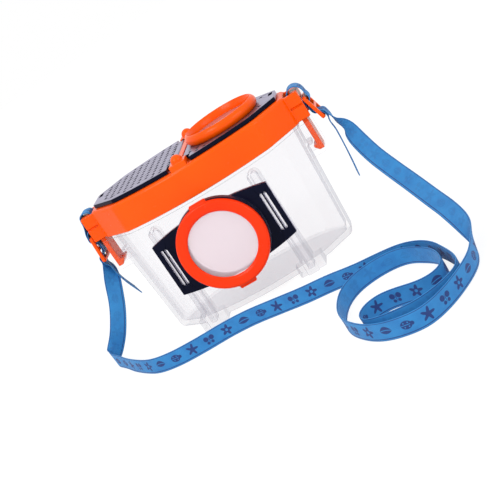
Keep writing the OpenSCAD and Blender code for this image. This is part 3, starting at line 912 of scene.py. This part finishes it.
@dataclass
class Strap:
    """The neck strap: one long printed ribbon and the two tails behind its sliders.

    Routes, layer and floor_z are in millimetres, the rest in metres. Step is the distance
    between rings, layer that of one layer from the mean of both in a slider, and floor_z the
    height of the middle line on the floor. Below loose_z the route and the width's direction
    are softened over their reaches, in full from fade lower. A face of the section has
    section_half points. An edge ripples by ripple_h at ripple_turn radians a metre, in full
    from ripple_start on, and an end is cut aslant over cut_l. Each split is the row where a
    loop goes over from the strap to its end.
    """

    width: float = 0.010
    thickness: float = 0.0007
    step: float = 0.0008
    layer: float = 0.45
    floor_z: float = 5.1
    loose_z: float = 0.055
    fade: float = 0.01
    place_reach: float = 0.0035
    width_reach: float = 0.006
    section_half: int = 13
    ripple_h: float = 0.00018
    ripple_turn: float = 190.0
    ripple_start: float = 0.02
    cut_l: float = 0.008
    split_left: int = 11
    split_right: int = 8
    left: Slider = Slider(-74.6, 66.9, 87.0)
    right: Slider = Slider(76.0, 74.2, 74.0)

    def loop_left(self) -> np.ndarray:
        """Ribbon round the left lug's bar, from the slider up and over to its inner side."""
        return np.array(
            [[-76.5, 0, 76.1], [-76, 0, 78.2], [-74.9, 0, 80.7], [-74.1, 0, 83.4],
             [-73.7, 0, 86.2], [-73.2, 0, 87.9], [-71.8, 0, 88.95], [-69.6, 0, 89.1],
             [-67.6, 0, 88.6], [-66.4, 0, 87.1], [-66, 0, 85], [-66, 0, 81], [-66.9, 0, 79.5],
             [-69, 0, 79.2], [-72.2, 0, 79], [-74.2, 0, 78.2], [-75.3, 0, 77.1],
             [-75.6, 0, 76.1]]
        )

    def loop_right(self) -> np.ndarray:
        """Ribbon round the right lug's bar, from the slider up and over to its inner side."""
        return np.array(
            [[75.8, 0, 83.6], [75.5, 0, 85.5], [74.6, 0, 87.6], [72.9, 0, 89.2],
             [70.6, 0, 89.9], [68.3, 0, 89.4], [66.7, 0, 87.8], [66.1, 0, 85.5], [66, 0, 81],
             [66.9, 0, 79.5], [69, 0, 79.2], [71.2, 0, 79], [72.4, 0, 78.2], [72.8, 0, 77.1],
             [72.92, 0, 76.24]]
        )

    def drop_left(self) -> np.ndarray:
        """Ribbon from the left slider down to the floor."""
        z = self.floor_z
        return np.array(
            [[-77.6, -1, 51.5, -0.6, -0.7, 0], [-80.5, -3, 43, -0.95, -0.1, 0.3],
             [-85, -4, 32.5, -0.85, 0, 0.5], [-91, -4, 22.5, -0.85, 0, 0.5],
             [-97, -3, 14.5, -0.85, 0, 0.5], [-102, -1.8, 9.4, -0.6, 0, 0.8],
             [-104.8, -3, 6.6, -0.25, 0, 0.95], [-105.6, -5.6, z, 0, 0, 1]]
        )

    def drop_right(self) -> np.ndarray:
        """Ribbon from the floor up to the right slider."""
        z = self.floor_z
        return np.array(
            [[120.4, -125.25, z, 0, 0, 1], [120.7, -119, 6.4, 0.35, 0, 0.95],
             [119.8, -109, 9.6, 0.75, 0.1, 0.65], [116.4, -93, 14, 0.92, 0.18, 0.35],
             [111, -76, 19, 0.92, 0.18, 0.35], [105, -58, 25, 0.92, 0.18, 0.35],
             [98.6, -41, 32, 0.92, 0.18, 0.35], [92.6, -26, 40, 0.92, 0.18, 0.35],
             [88.4, -14, 48.5, 0.92, -0.1, 0.3], [86, -6.5, 56, 0.6, -0.75, 0],
             [82.4, -1.5, 60.8, 0.3, -0.9, 0]]
        )

    def floor_run(self) -> np.ndarray:
        """Ribbon on the floor, standing on its edge, in one wide loop and a small one."""
        plan = np.array(
            [[-105, -8], [-104, -12], [-99, -19], [-92.5, -28], [-85, -39], [-76, -50],
             [-66, -58.5], [-53, -63.5], [-36, -63.5], [-18, -62.5], [-4, -63.5], [11, -68.5],
             [28, -73.5], [45, -77.3], [60, -82.2], [76, -85.5], [87, -88.8], [95, -95.5],
             [101.5, -106], [106.5, -119], [109.8, -132], [111, -143], [108.5, -151],
             [100, -157.6], [88, -161.8], [76, -160.6], [66.5, -156.8], [61.8, -152.5],
             [60.6, -146.5], [63.2, -138.8], [70, -135.2], [80, -138], [90, -142.6],
             [98, -143.4], [103, -139.5], [104.4, -131], [102, -118], [95, -104.5],
             [84.5, -93], [70, -90.8], [59, -95.4], [52.5, -106], [49.6, -120], [50.8, -135],
             [56.5, -150], [65.5, -161.8], [77, -169.6], [89, -172], [99.5, -165.6],
             [108, -156.6], [114.5, -146], [118.6, -135], [119.8, -128.5]]
        )
        return np.hstack([plan, np.full((len(plan), 1), self.floor_z)])

    def line(self, rows: np.ndarray) -> tuple[np.ndarray, np.ndarray]:
        """The ribbon's middle line and width directions.

        Args:
            rows: the route in millimetres, six numbers a row.

        Returns:
            Places in metres and the directions of the width.
        """
        scaled = np.hstack([rows[:, :3] * MM, unit(rows[:, 3:])])
        fine = smooth_line(scaled, self.step)
        low = np.clip((self.loose_z - fine[:, 2]) / self.fade, 0, 1)
        fine[:, :3] = soften(fine[:, :3], self.place_reach, self.step, low)
        fine[:, 3:] = soften(fine[:, 3:], self.width_reach, self.step, low)
        return fine[:, :3], unit(fine[:, 3:])

    def ribbon(
        self, name: str, rows: np.ndarray, first: float = 0.0, slant: float = 0.0
    ) -> tuple[bpy.types.Object, np.ndarray]:
        """Sweeps the ribbon's section along a route.

        The section is (v w, n t) with v = sin a across the width and
        n = sqrt(1 - |v|^12) on the printed face, and -n on the plain one.

        Args:
            name: the object's name.
            rows: the route.
            first: where the printed pattern starts, in ribbon widths.
            slant: how far the last edge leans along the ribbon, in metres.

        Returns:
            The object and its middle line.
        """
        middle, hint = self.line(rows)
        ahead = unit(np.gradient(middle, axis=0))
        wide = unit(hint - (hint * ahead).sum(1, keepdims=True) * ahead)
        out = np.cross(ahead, wide)
        half = self.section_half
        bend = np.linspace(-math.pi / 2, math.pi / 2, half)
        v = np.sin(bend)
        rise = np.sqrt(np.clip(1 - np.abs(v) ** 12, 0, None))
        v, n = np.concatenate([v, v[-2:0:-1]]), np.concatenate([rise, -rise[-2:0:-1]])
        run = np.arange(len(middle)) * self.step
        lean = np.clip((run - run[-1] + self.cut_l) / self.cut_l, 0, 1) * slant
        ripple = self.ripple_h * np.sin(run * self.ripple_turn)
        ripple = ripple * np.clip(run / self.ripple_start, 0, 1)
        points = (
            middle[:, None]
            + wide[:, None] * (v * self.width / 2)[None, :, None]
            + out[:, None] * (n * self.thickness / 2)[None, :, None]
            + ahead[:, None] * (v[None, :] * lean[:, None])[:, :, None]
            + out[:, None] * (ripple[:, None] * (v[None, :] ** 2))[:, :, None]
        )
        cols = len(v)
        cells = grid_faces(len(middle), cols)
        last = (len(middle) - 1) * cols
        faces = cells.tolist() + [list(range(cols))[::-1], [last + i for i in range(cols)]]
        mesh = bpy.data.meshes.new(name)
        mesh.from_pydata(points.reshape(-1, 3).tolist(), [], faces)
        corner = np.zeros(len(mesh.loops), int)
        mesh.loops.foreach_get("vertex_index", corner)
        along = first + (corner // cols) * self.step / self.width
        across = v[corner % cols] / 2 + 0.5
        layer = mesh.uv_layers.new(name="Length")
        layer.data.foreach_set("uv", np.stack([along, across], -1).astype(np.float32).ravel())
        side = np.zeros(len(faces), np.float32)
        side[: len(cells)] = np.tile(np.arange(cols) < half - 1, len(middle) - 1)
        mesh.attributes.new("printed", "FLOAT", "FACE").data.foreach_set("value", side)
        mesh.polygons.foreach_set("use_smooth", np.ones(len(faces), bool))
        made = added(name, mesh)
        centre = made.data.polygons[len(cells) // 2 // cols * cols + half // 2 - 1]
        if centre.normal.dot(Vector(out[len(middle) // 2])) < 0:
            mesh.flip_normals()
        return made, middle

    def build(self, ribbon: bpy.types.Material) -> None:
        """Makes the strap and both tails, with their finish.

        Args:
            ribbon: the ribbon's finish.
        """
        over_left, over_right = self.loop_left(), self.loop_right()
        split_left, split_right = self.split_left, self.split_right
        main = np.vstack(
            [
                rows_of(over_left[split_left - 1 :: -1], FRONT),
                rows_of(self.left.woven(self.layer), FRONT),
                self.drop_left(),
                rows_of(self.floor_run(), UP),
                self.drop_right(),
                rows_of(self.right.woven(self.layer)[::-1], FRONT),
                rows_of(over_right[:split_right], FRONT),
            ]
        )
        strap, middle = self.ribbon("neck_strap", main, first=0.35)
        self.declare(strap, middle, ribbon)
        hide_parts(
            "strap_drop_left", "strap_drop_right", "strap_floor_run",
            "strap_loop_left", "strap_loop_right",
        )
        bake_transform(strap)
        ends_left = np.array([[-75.7, 0, 54], [-75.4, 0, 49], [-73.8, 0, 41], [-70.5, 0, 33]])
        ends_right = np.array(
            [[79.1, 0, 62], [79.6, 0, 57], [79.3, 0, 48], [78.4, 0, 38], [77.4, 0, 28]]
        )
        inner_left = self.left.woven(-self.layer)
        inner_right = self.right.woven(-self.layer)[2:]
        for side, loop, split, inner, end, hint, slant in (
            ("left", over_left, split_left, inner_left, ends_left, (0.3, -0.9, 0), 0.003),
            ("right", over_right, split_right, inner_right, ends_right, (0.11, -0.99, 0), 0.001),
        ):
            rows = np.vstack(
                [rows_of(loop[split - 1 :], FRONT), rows_of(inner, FRONT), rows_of(end, hint)]
            )
            tail, middle = self.ribbon("strap_end_" + side, rows, first=0.5, slant=slant)
            self.declare(tail, middle, ribbon)
            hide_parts("strap_tail_" + side)
            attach(tail, Body.LID.value)

    def declare(
        self, piece: bpy.types.Object, middle: np.ndarray, ribbon: bpy.types.Material
    ) -> None:
        """Gives a ribbon its finish.

        Args:
            piece: the ribbon.
            middle: its middle line, not used.
            ribbon: its finish.
        """
        piece.data.materials.append(ribbon)
        middle[::3].tolist() + [middle[-1].tolist()]


# ---------------------------------------------------------------- lid, jar and magnifiers


@dataclass
class Finishes:
    """Every material of the object."""

    orange: bpy.types.Material
    red: bpy.types.Material
    latch: bpy.types.Material
    navy: bpy.types.Material
    clear: bpy.types.Material
    lens: bpy.types.Material
    top_lens: bpy.types.Material
    ribbon: bpy.types.Material

    @classmethod
    def make(cls) -> "Finishes":
        """Mixes them."""
        return cls(
            orange=MouldedPlastic("orange_plastic", srgb("FF5A02"), srgb("FF5202")).make(),
            red=MouldedPlastic("red_orange_plastic", srgb("FF3A05"), srgb("FF3304")).make(),
            latch=MouldedPlastic("latch_plastic", srgb("FF5A14"), srgb("FF520E")).make(),
            navy=MouldedPlastic(
                "navy_plastic", srgb("090D24"), srgb("070A1C"), mirror=0.06, coat=0.02,
                sheen=0.75, sheen_tint=srgb("D2CEE2"),
            ).make(),
            clear=ClearPlastic("clear_plastic").make(),
            # Painted reflection: the front lens's pink face and haze colours stand in for the
            # red-orange ring reflected in it.
            lens=ClearPlastic(
                "lens_plastic", (0.96, 0.91, 0.93), (0.7, 0.68, 0.74), (0.9, 0.8, 0.83),
                haze=0.35, gloss=0.3,
            ).make(),
            top_lens=ClearPlastic("top_lens_plastic", haze=0.03, gloss=0.3).make(),
            ribbon=PrintedRibbon().make(),
        )


@dataclass
class TopMagnifier:
    """The small magnifier on the right hatch: a full round ring and its lens.

    The ring's outer face is an arc of radius bulge_r between two angles in degrees, whose
    middle lies bulge_sink below the ring's half height.
    """

    x: float = 0.027
    hatch_bottom: float = 0.0889
    hatch_top: float = 0.0913
    ring_h: float = 0.0062
    ring_r: float = 0.0232
    spigot_r: float = 0.01965
    mouth_r: float = 0.0214
    cup_r: float = 0.0194
    ledge_r: float = 0.0176
    lens_r: float = 0.0192
    lens_t: float = 0.0016
    dome: float = 0.0012
    bulge_r: float = 0.0036
    bulge_sink: float = 0.0002
    bulge_arc: tuple[float, float] = (-53.6, 66.4)
    bulge_points: int = 15
    cup_h: float = 0.0018
    edge: float = 0.0002

    def build(self, finishes: Finishes) -> None:
        """Makes the ring and the lens.

        Args:
            finishes: the object's materials.
        """
        bottom, top = self.hatch_bottom, self.hatch_top
        angle = np.radians(np.linspace(*self.bulge_arc, self.bulge_points))
        r, centre_r = self.bulge_r, self.ring_r - self.bulge_r
        centre_z = top + self.ring_h / 2 - self.bulge_sink
        bulge = np.stack([centre_r + r * np.cos(angle), centre_z + r * np.sin(angle)], -1)
        rest = np.array(
            [[self.mouth_r - 0.0004, top + self.ring_h - 0.0001],
             [self.mouth_r - 0.0009, top + self.ring_h - 0.0009],
             [self.cup_r + 0.0002, top + 2 * self.cup_h], [self.cup_r, top + self.cup_h],
             [self.cup_r, top],
             [self.ledge_r, top], [self.ledge_r, bottom], [self.spigot_r, bottom],
             [self.spigot_r, top]]
        )
        ring = turned("top_ring_skin", np.vstack([bulge, rest]), (self.x, 0, 0))
        finish_edges(ring, self.edge)
        dress(ring, finishes.orange, "orange_plastic", Body.LENS_HATCH, "top_ring")
        lens = turned(
            "top_lens_skin", lens_profile(self.lens_r, self.lens_t, self.dome), (self.x, 0, top)
        )
        finish_edges(lens, self.edge)
        dress(lens, finishes.top_lens, "lens_plastic", Body.LENS_HATCH, "top_lens")


def lens_profile(radius: float, rim: float, dome: float) -> np.ndarray:
    """A flat-backed lens: its top is rim + dome (1 - (r / radius)^2).

    Args:
        radius: the lens's radius.
        rim: thickness at its rim.
        dome: how much thicker its middle is.

    Returns:
        The closed profile, whose ends lie on the axis.
    """
    r = np.linspace(radius, 0.0, 16)
    top = np.stack([r, rim + dome * (1 - (r / radius) ** 2)], -1)
    return np.vstack([[[0.0, 0.0], [radius * 0.5, 0.0], [radius, 0.0]], top])


@dataclass
class FrontMagnifier:
    """The large magnifier: navy plate, red-orange ring with two tabs, and a lens."""

    z: float = 0.043
    ring_y: float = 0.0433
    rim_t: float = 0.0037
    lip_t: float = 0.0022
    lens_r: float = 0.0209
    lens_t: float = 0.0018
    dome: float = 0.0012
    plate_edge: float = 0.0004
    ring_edge: float = 0.0005
    lens_edge: float = 0.0002

    def build(self, frame: dict[str, Any], finishes: Finishes) -> None:
        """Makes the plate, the ring and the lens.

        Args:
            frame: the loaded frame.
            finishes: the object's materials.
        """
        plate = moulded_copy(frame, "lens_plate", self.plate_edge)
        dress(plate, finishes.navy, "navy_plastic", Body.JAR, "lens_plate")
        ring = moulded_copy(frame, "front_ring", self.ring_edge)
        dress(ring, finishes.red, "red_orange_plastic", Body.FRONT_RING, "front_ring")
        depth = self.ring_y + self.rim_t - self.lip_t
        profile = lens_profile(self.lens_r, self.lens_t, self.dome) * np.array([1, -1])
        lens = turned("front_lens_skin", profile, (0, -depth, self.z), forwards=True)
        finish_edges(lens, self.lens_edge)
        dress(lens, finishes.lens, "lens_plastic", Body.FRONT_RING, "front_lens")


@dataclass
class Jar:
    """The clear jar."""

    edge: float = 0.0005

    def build(self, frame: dict[str, Any], finishes: Finishes) -> None:
        """Makes the jar."""
        shell = moulded_copy(frame, "jar_body", self.edge)
        dress(shell, finishes.clear, "clear_plastic", Body.JAR, "jar_body")


@dataclass
class Lid:
    """The orange lid with its two hatches, latches and strap sliders."""

    edge: float = 0.0005
    hatch_edge: float = 0.00035
    small_edge: float = 0.0004

    def build(self, frame: dict[str, Any], finishes: Finishes) -> None:
        """Makes every piece of the lid.

        Args:
            frame: the loaded frame.
            finishes: the object's materials.
        """
        hatch, small = self.hatch_edge, self.small_edge
        for node, material, slot, body, edge in (
            ("lid_frame", finishes.orange, "orange_plastic", Body.LID, self.edge),
            ("vent_hatch", finishes.navy, "navy_plastic", Body.VENT_HATCH, hatch),
            ("lens_hatch", finishes.navy, "navy_plastic", Body.LENS_HATCH, hatch),
            ("latch_left", finishes.latch, "red_orange_plastic", Body.LATCH_LEFT, small),
            ("latch_right", finishes.latch, "red_orange_plastic", Body.LATCH_RIGHT, small),
            ("strap_slider_left", finishes.orange, "orange_plastic", Body.LID, small),
            ("strap_slider_right", finishes.orange, "orange_plastic", Body.LID, small),
        ):
            piece = moulded_copy(frame, node, edge, plain=node.startswith("latch"))
            dress(piece, material, slot, body, node)


def main() -> None:
    """Builds the studio and the object."""
    logging.basicConfig(level=logging.INFO, format="%(message)s")
    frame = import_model()
    Studio().build()
    finishes = Finishes.make()
    Strap().build(finishes.ribbon)
    Jar().build(frame, finishes)
    Lid().build(frame, finishes)
    TopMagnifier().build(finishes)
    FrontMagnifier().build(frame, finishes)
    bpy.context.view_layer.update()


if __name__ == "__main__":
    main()
